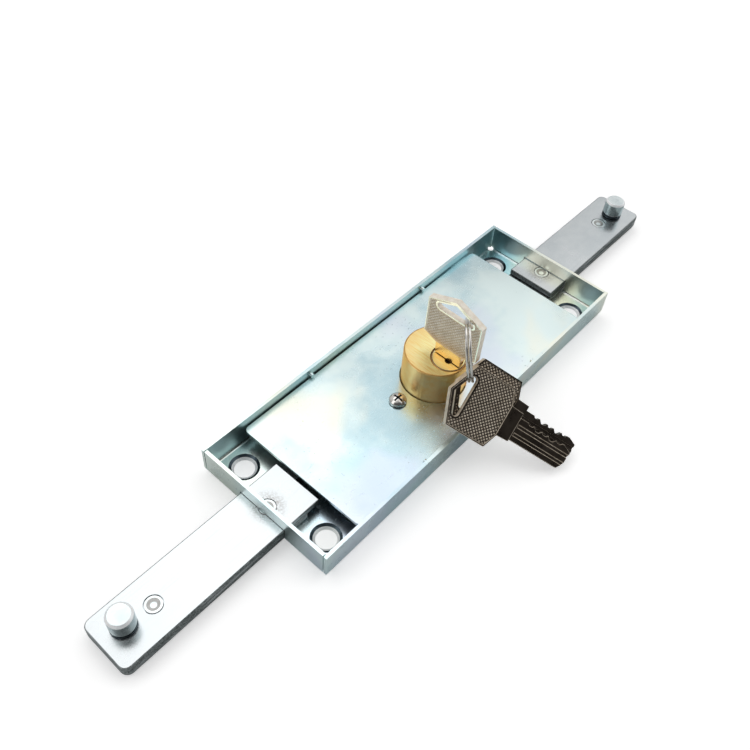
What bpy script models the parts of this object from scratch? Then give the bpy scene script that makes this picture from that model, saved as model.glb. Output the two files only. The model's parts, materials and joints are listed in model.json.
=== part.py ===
"""Roller shutter lock: two sliding bars drawn into a steel tray by a keyed pinion.

Metres, +Z up. The lock lies on its back: the origin is the centre of the tray's back face,
+X runs along the tray and +Z points out of its open side.
"""
import math

import bmesh
import bpy
from mathutils import Euler, Matrix, Vector

# Fits between the pieces
gap = 0.0003                      # between pieces that touch
sheet_gap = 0.0003                # seams between the folded walls
bar_side_play = 0.0004            # bar to the sides of its slot
bar_top_play = 0.0004             # bar to the top of its slot

# Tray
case_length = 0.155
case_width = 0.055
case_height = 0.0118
sheet = 0.0012
bend_inner = 0.0008
relief_radius = 0.0014
mount_hole_radius = 0.0035
mount_sink_radius = 0.0052
mount_from_end = 0.0092
mount_from_side = 0.0089
lug_radius = 0.0008
lug_reach = 0.0012
lug_from_middle = 0.030

# Bars, each a rack strip under a doubler
bar_width = 0.0194
strip_thickness = 0.00225
bar_corner = 0.0025
left_reach = 0.1365               # tip of the left bar from the middle
right_reach = 0.1346
left_doubler_inside = 0.0153      # how far the doublers reach into the tray from its ends
right_doubler_inside = 0.0109
left_rivet_inside = 0.0022        # inner rivets from the tray's ends
right_rivet_inside = 0.0034
left_shoulder_inside = 0.0102     # where the left rack bar narrows to its rack arm
right_crank_inside = 0.0205       # where the right one cranks over to its rack arm
right_crank_width = 0.013
arm_width = 0.0038                # rack arm behind the roots of its teeth
tip_to_pin = 0.0080
tip_to_outer_rivet = 0.0175
rivet_head_radius = 0.0027
rivet_head = 0.0005
rivet_shank_radius = 0.0020
rivet_dimple_radius = 0.0020
rivet_dimple = 0.0004
pin_radius = 0.0040
pin_height = 0.0073
pin_shank_radius = 0.0026
pin_collar = 0.0003
pin_groove = 0.0009
pin_groove_depth = 0.0006
left_pin_y = 0.0011               # pins off the bars' middle line
right_pin_y = -0.0006
pin_chamfer = 0.0007

# Drive
tooth_module = 0.001
tooth_count = 23
addendum = 0.0008
dedendum = 0.00105
pressure_angle = math.radians(20)
backlash = 0.0003
root_relief = 0.0001              # the rack's roots are slightly hollow
rack_teeth = 10
teeth_past_middle = 1             # whole teeth on the far side of the plug
drive_turn = math.radians(90)

# Cover
cover_thickness = 0.0011
cover_from_end = 0.0161            # cover to the tray's ends
cover_side_gap = 0.0005
cover_corner = 0.0018
cover_over_bars = 0.0008
cover_screw_x = -0.017
cover_screw_from_plug = 0.0065
screw_head_radius = 0.0031
screw_head = 0.0019
screw_shank_radius = 0.0013
pillar_radius = 0.0026
pillar_foot_radius = 0.0015

# Lock cylinder
cylinder_radius = 0.0115
cylinder_from_plug = 0.0048
cylinder_face = 0.0222            # height of its face above the tray's back
cylinder_chamfer = 0.00025
keyway_pocket_radius = 0.0014    # round hollow beside the key in the plug's face
keyway_pocket_back = 0.0008
keyway_pocket_depth = 0.0016
plug_from_side = 0.0184           # plug's axis from the tray's near side
plug_radius = 0.00595
flange_ear_radius = 0.0038
fixing_x = 0.0162
fixing_from_plug = -0.0015
fixing_radius = 0.0015
fixing_head_radius = 0.0032
sleeve_wall = 0.0008
tail_flat = 0.0051                # plug tail across its flats, from the axis
clip_thickness = 0.0005
clip_reach = 0.0013
clip_groove_depth = 0.0007
clip_mouth = math.radians(70)
plug_end = 0.00015
clip_low = 0.0007

# Key
bow_half_width = 0.0108
bow_roof = 0.0046                 # from the apex down to the side corners
bow_side = 0.0199
bow_base = 0.0220
bow_thickness = 0.0023
bow_border = 0.0005
bow_recess = 0.0002
neck_half_width = 0.0054
neck_foot_half_width = 0.0052
shoulder = 0.0265
key_length = 0.0483
blade_thickness = 0.0020
blade_back = 0.0045               # from the key's axis to the plain edge
blade_front = 0.0036              # and to the cut edge
tip_slope = 0.0030
slot_end_radius = 0.0013
slot_half_length = 0.0059
slot_depth = 0.0057               # slot end centres below the apex
slot_apex_radius = 0.0005
slot_apex_depth = 0.0022
groove_depth = 0.0004
groove_width = 0.0011

# Pin tumblers
tumbler_count = 5
tumbler_pitch = 0.0030
first_cut = 0.0311                # below the key's apex
tumbler_radius = 0.00095
driver_length = 0.0036
spring_length = 0.0034
spring_wire = 0.00015
spring_turns = 4
cut_depths = (0.0006, 0.0012, 0.0009, 0.0013, 0.0007)
cut_floor = 0.0006

# Split ring
ring_radius = 0.01028             # to the middle of the wire
ring_wire = 0.00046
ring_turn_offset = 0.0011
ring_split = math.radians(180)    # where one turn crosses to the next

# Loose keys and ring as they lie, from the plug's axis and the tray's back
ring_from_plug = (-0.001536, -0.008087, 0.034014)
ring_axis = (-0.5948, 0.7779, -0.2013)
ring_lift_from_plug = (0.0, -0.0029, 0.0415)   # in the slot of the key it hangs from
spare_key_1_from_plug = (-0.013185, -0.010145, 0.027035)
spare_key_2_from_plug = (-0.008763, -0.009516, 0.026245)
spare_key_across = (0.8295, 0.1072, 0.5482)
spare_key_down = (0.4187, -0.7689, -0.4832)

# Heights and places that follow
plug_y = plug_from_side - case_width / 2
cylinder_y = plug_y + cylinder_from_plug
fixing_y = plug_y + fixing_from_plug
cover_screw_y = plug_y + cover_screw_from_plug
cover_length = case_length - 2 * cover_from_end
left_rivet_x = case_length / 2 - left_rivet_inside
right_rivet_x = case_length / 2 - right_rivet_inside
left_doubler_end = case_length / 2 - left_doubler_inside
right_doubler_end = case_length / 2 - right_doubler_inside
left_strip_shoulder = case_length / 2 - left_shoulder_inside
right_crank_start = case_length / 2 - right_crank_inside
strip_low = sheet + gap
strip_high = strip_low + strip_thickness
doubler_low = strip_high + gap
doubler_high = doubler_low + strip_thickness
cover_low = doubler_high + cover_over_bars
cover_high = cover_low + cover_thickness
body_low = strip_high + gap
flange_high = cover_low - gap
bore_radius = plug_radius + gap
pitch_radius = tooth_module * tooth_count / 2
tooth_pitch = math.pi * tooth_module
bar_travel = pitch_radius * drive_turn
key_apex = cylinder_face + gap + shoulder
mount_x = case_length / 2 - mount_from_end
mount_y = case_width / 2 - mount_from_side
chamber_radius = tumbler_radius + gap
clip_outer = plug_radius + clip_reach
tumbler_heights = [key_apex - first_cut - i * tumbler_pitch for i in range(tumbler_count)]

for old in list(bpy.data.objects):
    bpy.data.objects.remove(old, do_unlink=True)

parts = bpy.data.collections.new("roller_shutter_lock")
cutters = bpy.data.collections.new("cutters")
for group in (parts, cutters):
    bpy.context.scene.collection.children.link(group)


def material(name, colour, roughness, metallic=1.0):
    made = bpy.data.materials.new(name)
    made.use_nodes = True
    shader = made.node_tree.nodes["Principled BSDF"]
    shader.inputs["Base Color"].default_value = (*colour, 1.0)
    shader.inputs["Roughness"].default_value = roughness
    shader.inputs["Metallic"].default_value = metallic
    made.diffuse_color = (*colour, 1.0)
    return made


zinc = (0.66, 0.72, 0.74)
bar_zinc = (0.56, 0.58, 0.60)
brass = (0.80, 0.60, 0.28)
nickel = (0.62, 0.58, 0.52)
steel = (0.55, 0.55, 0.56)


def finish(obj, colour, roughness, metallic=1.0):
    """Give a piece its own material and smooth its round faces."""
    obj.data.materials.clear()
    obj.data.materials.append(material(obj.name + "_finish", colour, roughness, metallic))
    obj.data.shade_smooth()
    obj.data.set_sharp_from_angle(angle=math.radians(35))
    return obj


def from_bmesh(name, bm, place=(0, 0, 0)):
    """Close a bmesh into an object with its faces outwards."""
    bmesh.ops.recalc_face_normals(bm, faces=bm.faces)
    mesh = bpy.data.meshes.new(name)
    bm.to_mesh(mesh)
    bm.free()
    obj = bpy.data.objects.new(name, mesh)
    obj.location = place
    parts.objects.link(obj)
    return obj


def box(name, low, high):
    bm = bmesh.new()
    bmesh.ops.create_cube(bm, size=1.0)
    size = [b - a for a, b in zip(low, high)]
    middle = [(a + b) / 2 for a, b in zip(low, high)]
    bmesh.ops.scale(bm, vec=size, verts=bm.verts)
    bmesh.ops.translate(bm, vec=middle, verts=bm.verts)
    return from_bmesh(name, bm)


def pan(name, half_x, half_y, low, high, radius, steps=4):
    """A box whose four lower edges are rounded."""
    bm = bmesh.new()
    bmesh.ops.create_cube(bm, size=1.0)
    bmesh.ops.scale(bm, vec=(2 * half_x, 2 * half_y, high - low), verts=bm.verts)
    bmesh.ops.translate(bm, vec=(0, 0, (low + high) / 2), verts=bm.verts)
    middle = (low + high) / 2
    lower = [e for e in bm.edges if all(v.co.z < middle for v in e.verts)]
    bmesh.ops.bevel(bm, geom=lower, offset=radius, segments=steps, profile=0.5,
                    affect="EDGES", material=-1, offset_type="OFFSET")
    return from_bmesh(name, bm)


def rod(name, radius, start, end, sides=32, axis="Z", radius_end=None):
    """A cylinder or cone from start to end, along one axis."""
    bm = bmesh.new()
    length = (end[0] - start[0]) + (end[1] - start[1]) + (end[2] - start[2])
    bmesh.ops.create_cone(bm, cap_ends=True, segments=sides, radius1=radius,
                          radius2=radius if radius_end is None else radius_end, depth=length)
    turn = {"Z": (0, 0, 0), "X": (0, math.pi / 2, 0), "Y": (-math.pi / 2, 0, 0)}[axis]
    bmesh.ops.rotate(bm, matrix=Euler(turn).to_matrix(), verts=bm.verts)
    middle = [(a + b) / 2 for a, b in zip(start, end)]
    bmesh.ops.translate(bm, vec=middle, verts=bm.verts)
    return from_bmesh(name, bm)


def turned(name, profile, place=(0, 0), sides=32, ring=False):
    """Revolve a profile of radius and height, listed down its outer side."""
    mesh = bpy.data.meshes.new(name)
    edges = [(i, i + 1) for i in range(len(profile) - 1)]
    if ring:
        edges.append((len(profile) - 1, 0))
    mesh.from_pydata([(r, 0.0, z) for r, z in profile], edges, [])
    obj = bpy.data.objects.new(name, mesh)
    obj.location = (place[0], place[1], 0)
    parts.objects.link(obj)
    screw = obj.modifiers.new("turn", "SCREW")
    screw.steps = sides
    screw.render_steps = sides
    screw.use_merge_vertices = True
    screw.merge_threshold = 0.00001
    return obj


def fixed_mesh(obj, flat_caps=False):
    """The piece as a plain mesh, its modifiers or curve settled and its seams welded."""
    bpy.context.view_layer.update()
    settled = obj.evaluated_get(bpy.context.evaluated_depsgraph_get())
    mesh = bpy.data.meshes.new_from_object(settled)
    bm = bmesh.new()
    bm.from_mesh(mesh)
    bmesh.ops.remove_doubles(bm, verts=bm.verts, dist=0.000001)
    if flat_caps:
        bmesh.ops.dissolve_degenerate(bm, dist=0.000001, edges=bm.edges)
        bmesh.ops.dissolve_limit(bm, angle_limit=math.radians(0.01), verts=bm.verts, edges=bm.edges)
    bmesh.ops.recalc_face_normals(bm, faces=bm.faces)
    bm.to_mesh(mesh)
    bm.free()
    name, place, kind = obj.name, obj.matrix_world.copy(), obj.data
    bpy.data.objects.remove(obj)
    if isinstance(kind, bpy.types.Curve):
        bpy.data.curves.remove(kind)
    made = bpy.data.objects.new(name, mesh)
    made.matrix_world = place
    parts.objects.link(made)
    return made


def plate(name, outlines, low, high):
    """A flat outline, with any holes after it, between two heights."""
    flat = bpy.data.curves.new(name, "CURVE")
    flat.dimensions = "2D"
    flat.fill_mode = "BOTH"
    flat.extrude = (high - low) / 2
    for points in outlines:
        line = flat.splines.new("POLY")
        line.points.add(len(points) - 1)
        for spot, (x, y) in zip(line.points, points):
            spot.co = (x, y, 0, 1)
        line.use_cyclic_u = True
    obj = bpy.data.objects.new(name, flat)
    obj.location = (0, 0, (low + high) / 2)
    parts.objects.link(obj)
    return fixed_mesh(obj, flat_caps=True)


def combine(target, other, operation="DIFFERENCE", whole=False):
    """Cut one piece with another, or join the other to it."""
    parts.objects.unlink(other)
    cutters.objects.link(other)
    other.hide_render = True
    other.display_type = "WIRE"
    step = target.modifiers.new(other.name, "BOOLEAN")
    step.operation = operation
    step.solver = "EXACT"
    step.object = other
    step.use_self = whole
    return target


def merged(name, pieces):
    """Several separate solids as one cutter."""
    bm = bmesh.new()
    for piece in pieces:
        piece.data.transform(piece.matrix_basis)
        bm.from_mesh(piece.data)
        bpy.data.objects.remove(piece)
    return from_bmesh(name, bm)


def arc(x, y, radius, start, end, steps):
    """Points round a centre from one angle to another, in degrees."""
    angles = [math.radians(start + (end - start) * i / steps) for i in range(steps + 1)]
    return [(x + radius * math.cos(a), y + radius * math.sin(a)) for a in angles]


def circle(x, y, radius, sides=32):
    return arc(x, y, radius, 0, 360, sides)[:-1]


def holder(name, place, turn=(0, 0, 0)):
    """An empty on a joint's axis, which carries the pieces that move with it."""
    empty = bpy.data.objects.new(name, None)
    empty.location = place
    empty.rotation_euler = turn
    empty.empty_display_size = 0.005
    parts.objects.link(empty)
    return empty


def carry(empty, *pieces):
    """Parent finished pieces to an empty without moving them."""
    bpy.context.view_layer.update()
    for piece in pieces:
        piece.parent = empty
        piece.matrix_parent_inverse = empty.matrix_world.inverted()


# Tray
def tray():
    half_x = case_length / 2
    half_y = case_width / 2
    obj = pan("case_tray", half_x, half_y, 0, case_height, bend_inner + sheet)
    room = pan("tray_room", half_x - sheet, half_y - sheet, sheet, 2 * case_height, bend_inner)
    combine(obj, room)
    cuts = []
    reliefs = []
    slot_half = bar_width / 2 + bar_side_play
    slot_top = doubler_high + bar_top_play
    inner_y = half_y - sheet
    for side in (-1, 1):
        far = side * (half_x + sheet)
        near = side * (half_x - sheet - bend_inner)
        cuts.append(box("bar_slot", (min(far, near), -slot_half, sheet),
                        (max(far, near), slot_half, slot_top)))
        for edge in (-1, 1):
            seam = sorted((edge * (inner_y - sheet_gap), edge * (inner_y + gap / 10)))
            cuts.append(box("seam", (min(far, near), seam[0], -sheet),
                            (max(far, near), seam[1], 2 * case_height)))
            corner = (side * (half_x - sheet - bend_inner / 2), edge * (inner_y - bend_inner / 2))
            reliefs.append(rod("relief", relief_radius, (*corner, -sheet), (*corner, 2 * sheet), 20))
    combine(obj, merged("end_cuts", cuts))
    combine(obj, merged("reliefs", reliefs))
    holes = []
    sink_reach = mount_hole_radius + 2 * (mount_sink_radius - mount_hole_radius)
    head_reach = fixing_radius + 2 * (fixing_head_radius - fixing_radius)
    for side in (-1, 1):
        for edge in (-1, 1):
            spot = (side * mount_x, edge * mount_y)
            holes.append(turned_cutter("mount_hole", [
                (sink_reach, 1.8 * sheet), (mount_hole_radius, 0.2 * sheet),
                (mount_hole_radius, -sheet)], spot, 28))
        spot = (side * fixing_x, fixing_y)
        holes.append(turned_cutter("fixing_hole", [
            (fixing_radius + gap, 2 * sheet), (fixing_radius + gap, 0.8 * sheet),
            (head_reach + gap, -0.8 * sheet)], spot, 20))
    holes.append(turned_cutter("pillar_hole", [
        (pillar_foot_radius + gap, 2 * sheet), (pillar_foot_radius + gap, -sheet)],
        (cover_screw_x, cover_screw_y), 20))
    holes.append(turned_cutter("plug_hole", [
        (clip_outer + gap, 2 * sheet), (clip_outer + gap, -sheet)], (0, plug_y), 40))
    combine(obj, merged("floor_holes", holes))
    lugs = []
    for side in (-1, 1):
        for edge in (-1, 1):
            for height in (cover_high + gap + lug_radius, cover_low - gap - lug_radius):
                ends = sorted((edge * (inner_y - lug_reach), edge * (inner_y + sheet / 2)))
                lugs.append(rod("lug", lug_radius, (side * lug_from_middle, ends[0], height),
                                (side * lug_from_middle, ends[1], height), 16, "Y"))
    combine(obj, merged("lugs", lugs), "UNION")
    return finish(obj, zinc, 0.28)


def turned_cutter(name, profile, place, sides=32):
    """A turned solid closed at both ends, for cutting."""
    closed = [(0, profile[0][1])] + profile + [(0, profile[-1][1])]
    return fixed_mesh(turned(name, closed, place, sides))


def cover():
    half_x = cover_length / 2
    half_y = case_width / 2 - sheet - cover_side_gap
    r = cover_corner
    outline = (arc(half_x - r, half_y - r, r, 0, 90, 5) + arc(r - half_x, half_y - r, r, 90, 180, 5)
               + arc(r - half_x, r - half_y, r, 180, 270, 5)
               + arc(half_x - r, r - half_y, r, 270, 360, 5))
    obj = plate("cover_plate", [outline, circle(0, cylinder_y, cylinder_radius + gap, 56),
                                circle(cover_screw_x, cover_screw_y, screw_shank_radius + gap, 20)],
                cover_low, cover_high)
    return finish(obj, zinc, 0.25)


def cross_recess(name, place, low, high, reach):
    """Two crossed bars that cut a screw head's recess."""
    width = reach * 0.36
    across = box(name + "_a", (place[0] - reach, place[1] - width / 2, low),
                 (place[0] + reach, place[1] + width / 2, high))
    along = box(name + "_b", (place[0] - width / 2, place[1] - reach, low),
                (place[0] + width / 2, place[1] + reach, high))
    combine(across, along, "UNION")
    return fixed_mesh(across)


def cover_screw():
    base = cover_high + gap
    top = base + screw_head
    r = screw_head_radius
    obj = turned("cover_screw", [
        (0, top), (0.45 * r, top - 0.04 * r), (0.75 * r, top - 0.14 * r), (0.93 * r, top - 0.30 * r),
        (r, top - 0.45 * r), (r, base), (screw_shank_radius, base),
        (screw_shank_radius, strip_high), (0, strip_high)], (cover_screw_x, cover_screw_y))
    obj = fixed_mesh(obj)
    combine(obj, cross_recess("cover_screw_cross", (cover_screw_x, cover_screw_y),
                              top - 0.6 * screw_head, top + gap, 0.58 * r))
    return finish(obj, steel, 0.2)


def pillar():
    bore = screw_shank_radius + gap
    obj = turned("cover_pillar", [
        (0, strip_high - gap), (bore, strip_high - gap), (bore, flange_high),
        (pillar_radius, flange_high), (pillar_radius, strip_low), (pillar_foot_radius, strip_low),
        (pillar_foot_radius, gap / 2), (0, gap / 2)], (cover_screw_x, cover_screw_y), 20)
    return finish(obj, zinc, 0.35)


# Lock cylinder
def body():
    c = cylinder_chamfer
    obj = turned("cylinder_body", [
        (0, cylinder_face), (cylinder_radius - c, cylinder_face), (cylinder_radius, cylinder_face - c),
        (cylinder_radius, body_low), (0, body_low)], (0, cylinder_y), 64)
    obj = fixed_mesh(obj)
    ear = flange_ear_radius
    outline = arc(fixing_x, fixing_y, ear, -90, 90, 10) + arc(-fixing_x, fixing_y, ear, 90, 270, 10)
    combine(obj, plate("flange", [outline], body_low, flange_high), "UNION")
    combine(obj, rod("plug_bore", bore_radius, (0, plug_y, 0), (0, plug_y, 2 * cylinder_face), 48))
    combine(obj, merged("body_chambers", [
        rod("chamber", chamber_radius, (0, plug_y, z), (0, cylinder_y + 1.5 * cylinder_radius, z), 12, "Y")
        for z in tumbler_heights]))
    combine(obj, merged("flange_holes", [
        rod("flange_hole", fixing_radius + gap, (side * fixing_x, fixing_y, 0),
            (side * fixing_x, fixing_y, cover_low), 24) for side in (-1, 1)]))
    return finish(obj, brass, 0.25)


def plug():
    groove = plug_radius - clip_groove_depth
    obj = turned("cylinder_plug", [
        (0, cylinder_face), (plug_radius - cylinder_chamfer, cylinder_face),
        (plug_radius, cylinder_face - cylinder_chamfer),
        (plug_radius, clip_low + clip_thickness + gap), (groove, clip_low + clip_thickness + gap),
        (groove, clip_low - gap / 2), (plug_radius, clip_low - gap / 2), (plug_radius, plug_end),
        (0, plug_end)], (0, plug_y), 48)
    obj = fixed_mesh(obj)
    flats = [box("flat", (min(side * tail_flat, side * 2 * plug_radius), plug_y - 2 * plug_radius,
                          clip_low + clip_thickness + gap),
                 (max(side * tail_flat, side * 2 * plug_radius), plug_y + 2 * plug_radius,
                  strip_high + gap / 2)) for side in (-1, 1)]
    combine(obj, merged("tail_flats", flats))
    half = blade_thickness / 2 + gap
    combine(obj, box("keyway", (-half, plug_y - blade_back - gap, -sheet),
                     (half, plug_y + blade_front + gap, 2 * cylinder_face)))
    pocket = rod("keyway_pocket", keyway_pocket_radius,
                 (-blade_thickness / 2, plug_y - keyway_pocket_back, cylinder_face - keyway_pocket_depth),
                 (-blade_thickness / 2, plug_y - keyway_pocket_back, 2 * cylinder_face), 24)
    combine(obj, pocket)
    combine(obj, merged("plug_chambers", [
        rod("plug_chamber", chamber_radius, (0, plug_y, z), (0, plug_y + 2 * plug_radius, z), 12, "Y")
        for z in tumbler_heights]))
    return finish(obj, brass, 0.25)


def involute(angle):
    return math.tan(angle) - angle


def pinion():
    """Spur gear on the plug's flatted tail, one tooth towards +Y."""
    base = pitch_radius * math.cos(pressure_angle)
    tip = pitch_radius + addendum
    root = pitch_radius - dedendum
    half_pitch_tooth = (tooth_pitch / 2 - backlash / 2) / 2 / pitch_radius
    radii = [max(root, base) + (tip - max(root, base)) * i / 3 for i in range(4)]
    flank = [(root, half_pitch_tooth + involute(pressure_angle))]
    for r in radii:
        slope = math.acos(min(1.0, base / r))
        flank.append((r, half_pitch_tooth + involute(pressure_angle) - involute(slope)))
    outline = []
    for tooth in range(tooth_count):
        middle = math.pi / 2 + 2 * math.pi * tooth / tooth_count
        for r, half in flank:
            outline.append((r * math.cos(middle - half), plug_y + r * math.sin(middle - half)))
        for r, half in reversed(flank):
            outline.append((r * math.cos(middle + half), plug_y + r * math.sin(middle + half)))
    bore = plug_radius + gap
    flat = tail_flat + gap
    reach = math.degrees(math.acos(flat / bore))
    hole = arc(0, plug_y, bore, reach, 180 - reach, 16) + arc(0, plug_y, bore, 180 + reach,
                                                              360 - reach, 16)
    return finish(plate("drive_pinion", [outline, hole], strip_low, strip_high), steel, 0.3)


def clip():
    inner = plug_radius - clip_groove_depth + gap
    mouth = math.degrees(clip_mouth) / 2
    outline = (arc(0, plug_y, clip_outer, -90 + mouth, 270 - mouth, 28)
               + arc(0, plug_y, inner, 270 - mouth, -90 + mouth, 20))
    return finish(plate("plug_clip", [outline], clip_low, clip_low + clip_thickness), steel, 0.3)


def fixing_screw(number, side):
    place = (side * fixing_x, fixing_y)
    head = gap / 2
    neck = 0.8 * sheet
    obj = turned(f"fixing_screw_{number}", [
        (0, flange_high - gap), (fixing_radius - gap, flange_high - gap),
        (fixing_radius, flange_high - 2 * gap), (fixing_radius, neck), (fixing_head_radius, head),
        (0, head)], place, 24)
    obj = fixed_mesh(obj)
    combine(obj, cross_recess(f"fixing_cross_{number}", place, -gap, 0.55 * sheet,
                              0.55 * fixing_head_radius))
    return finish(obj, steel, 0.3)


def sleeve(number, side):
    inner = fixing_radius + gap
    outer = inner + sleeve_wall
    obj = turned(f"fixing_sleeve_{number}", [
        (inner, strip_high), (outer, strip_high), (outer, strip_low), (inner, strip_low)],
        (side * fixing_x, fixing_y), 24, ring=True)
    return finish(obj, steel, 0.35)


# Bars
def rack_line(pitch_y, toward, first, count):
    """Tooth outline along +X: toward is -1 where the teeth point to -Y."""
    half = (tooth_pitch / 2 - backlash / 2) / 2
    lean = math.tan(pressure_angle)
    tip_half = half - addendum * lean
    root_half = half + dedendum * lean
    root_y = pitch_y - toward * dedendum
    tip_y = pitch_y + toward * addendum
    points = []
    for i in range(count):
        x = first + i * tooth_pitch
        points += [(x - root_half, root_y), (x - tip_half, tip_y), (x + tip_half, tip_y),
                   (x + root_half, root_y), (x + tooth_pitch / 2, root_y - toward * root_relief)]
    return points[:-1]


def bar_holes(side, reach):
    """Clearance for the rivets and the pin that hold a bar's two layers together."""
    inner = left_rivet_x if side < 0 else right_rivet_x
    pin_y = left_pin_y if side < 0 else right_pin_y
    return [side * (reach - tip_to_outer_rivet), side * inner], (side * (reach - tip_to_pin), pin_y)


def bar_strip(name, side, reach, outline):
    rivets, pin_place = bar_holes(side, reach)
    holes = [circle(x, 0, rivet_shank_radius + gap, 20) for x in rivets]
    holes.append(circle(*pin_place, pin_shank_radius + gap, 24))
    obj = plate(name, [outline, *holes], strip_low, strip_high)
    sinks = [rod("rivet_seat", rivet_head_radius + gap, (x, 0, 0), (x, 0, strip_low + rivet_head + gap), 24)
             for x in rivets]
    return finish(combine(obj, merged(name + "_seats", sinks), whole=True), bar_zinc, 0.35)


def left_strip():
    half = bar_width / 2
    pitch_y = plug_y + pitch_radius
    last = (teeth_past_middle + 0.5) * tooth_pitch
    teeth = rack_line(pitch_y, -1, last - (rack_teeth - 1) * tooth_pitch, rack_teeth)
    edge_y = pitch_y - addendum + gap
    r = bar_corner
    outline = ([(-left_strip_shoulder, -half), (-left_strip_shoulder, edge_y),
                (teeth[0][0], edge_y)] + teeth + [(teeth[-1][0], half)]
               + arc(r - left_reach, half - r, r, 90, 180, 6)
               + arc(r - left_reach, r - half, r, 180, 270, 6))
    return bar_strip("left_rack_bar", -1, left_reach, outline)


def right_strip():
    half = bar_width / 2
    pitch_y = plug_y - pitch_radius
    teeth = rack_line(pitch_y, 1, -teeth_past_middle * tooth_pitch, rack_teeth)
    edge_y = pitch_y + addendum - gap
    low_y = pitch_y - dedendum - arm_width
    crank_end = right_crank_start - right_crank_width
    r = bar_corner
    outline = ([(teeth[0][0], low_y)] + arc(right_crank_start - r, low_y + r, r, -90, 0, 5)
               + [(right_crank_start, -half)]
               + arc(right_reach - r, r - half, r, -90, 0, 6)
               + arc(right_reach - r, half - r, r, 0, 90, 6)
               + [(crank_end, half), (crank_end, edge_y), (teeth[-1][0], edge_y)] + teeth[::-1])
    return bar_strip("right_rack_bar", 1, right_reach, outline)


def doubler(name, side, reach, inner_end):
    half = bar_width / 2
    r = bar_corner
    outline = ([(side * inner_end, -half)] + arc(side * (reach - r), r - half, r, -90, -90 + side * 90, 6)
               + arc(side * (reach - r), half - r, r, 90 - side * 90, 90, 6) + [(side * inner_end, half)])
    rivets, pin_place = bar_holes(side, reach)
    holes = [circle(x, 0, rivet_shank_radius + gap, 20) for x in rivets]
    holes.append(circle(*pin_place, pin_shank_radius + gap, 24))
    obj = plate(name, [outline, *holes], doubler_low, doubler_high)
    sinks = [rod("rivet_sink", rivet_head_radius + gap, (x, 0, doubler_high - rivet_head - gap),
                 (x, 0, doubler_high + sheet), 24) for x in rivets]
    return finish(combine(obj, merged(name + "_sinks", sinks)), bar_zinc, 0.35)


def rivet(name, x):
    top = doubler_high
    low = strip_low
    head = rivet_head_radius
    obj = turned(name, [
        (0, top - rivet_dimple), (rivet_dimple_radius * 0.5, top - rivet_dimple),
        (rivet_dimple_radius, top), (head, top), (head, top - rivet_head),
        (rivet_shank_radius, top - rivet_head), (rivet_shank_radius, low + rivet_head),
        (head, low + rivet_head), (head, low), (0, low)], (x, 0), 24)
    return finish(obj, bar_zinc, 0.3)


def end_pin(name, place):
    seat = doubler_high + gap
    top = doubler_high + pin_height
    neck = pin_radius - pin_groove_depth
    obj = turned(name, [
        (0, top), (pin_radius - pin_chamfer, top), (pin_radius, top - pin_chamfer),
        (pin_radius, seat + pin_collar + pin_groove), (neck, seat + pin_collar + pin_groove),
        (neck, seat + pin_collar), (pin_radius, seat + pin_collar), (pin_radius, seat),
        (pin_shank_radius, seat), (pin_shank_radius, strip_low), (0, strip_low)], place, 36)
    return finish(obj, bar_zinc, 0.3)


def bar_set(label, side, reach, strip, inner_end):
    slide = holder(f"{label}_bar_slide", (side * reach, 0, strip_low))
    rivets, pin_place = bar_holes(side, reach)
    carry(slide, strip, doubler(f"{label}_bar_doubler", side, reach, inner_end),
          rivet(f"{label}_outer_rivet", rivets[0]), rivet(f"{label}_inner_rivet", rivets[1]),
          end_pin(f"{label}_end_pin", pin_place))


# Keys, modelled with the apex of the bow at the origin and the blade along -Z
def cut_depth(below_apex):
    """How far the bitting lies below the blade's cut edge at a depth below the apex."""
    depth = 0.0
    for i in range(tumbler_count):
        away = abs(below_apex - first_cut - i * tumbler_pitch) - cut_floor
        depth = max(depth, cut_depths[i] - max(0.0, away))
    return depth


def bitting():
    """Cut edge from the shoulder to the tip, as flats joined by 45 degree slopes."""
    spots = set()
    for i in range(tumbler_count):
        middle = first_cut + i * tumbler_pitch
        spots |= {middle - cut_floor, middle + cut_floor}
        spots |= {middle - cut_floor - cut_depths[i], middle + cut_floor + cut_depths[i]}
    for i in range(tumbler_count - 1):
        drop = cut_depths[i + 1] - cut_depths[i]
        spots.add(first_cut + (i + 0.5) * tumbler_pitch - drop / 2)
    return [(blade_front - cut_depth(d), -d) for d in sorted(spots)]


def key_outline():
    w = bow_half_width
    right = [(0, 0), (w, -bow_roof), (w, -bow_side), (neck_half_width, -bow_base),
             (neck_foot_half_width, -shoulder), (blade_front, -shoulder)]
    tip = [(blade_front, -key_length + tip_slope), (blade_front - 0.4 * tip_slope, -key_length),
           (-blade_back + 0.8 * tip_slope, -key_length), (-blade_back, -key_length + 0.6 * tip_slope)]
    left = [(-blade_back, -shoulder), (-neck_foot_half_width, -shoulder),
            (-neck_half_width, -bow_base), (-w, -bow_side), (-w, -bow_roof)]
    return right + bitting() + tip + left


def bow_slot():
    r = slot_end_radius
    low = -slot_depth
    return (arc(slot_half_length, low, r, -90, 60, 6)
            + arc(0, -slot_apex_depth, slot_apex_radius, 60, 120, 3)
            + arc(-slot_half_length, low, r, 120, 270, 6))


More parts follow.
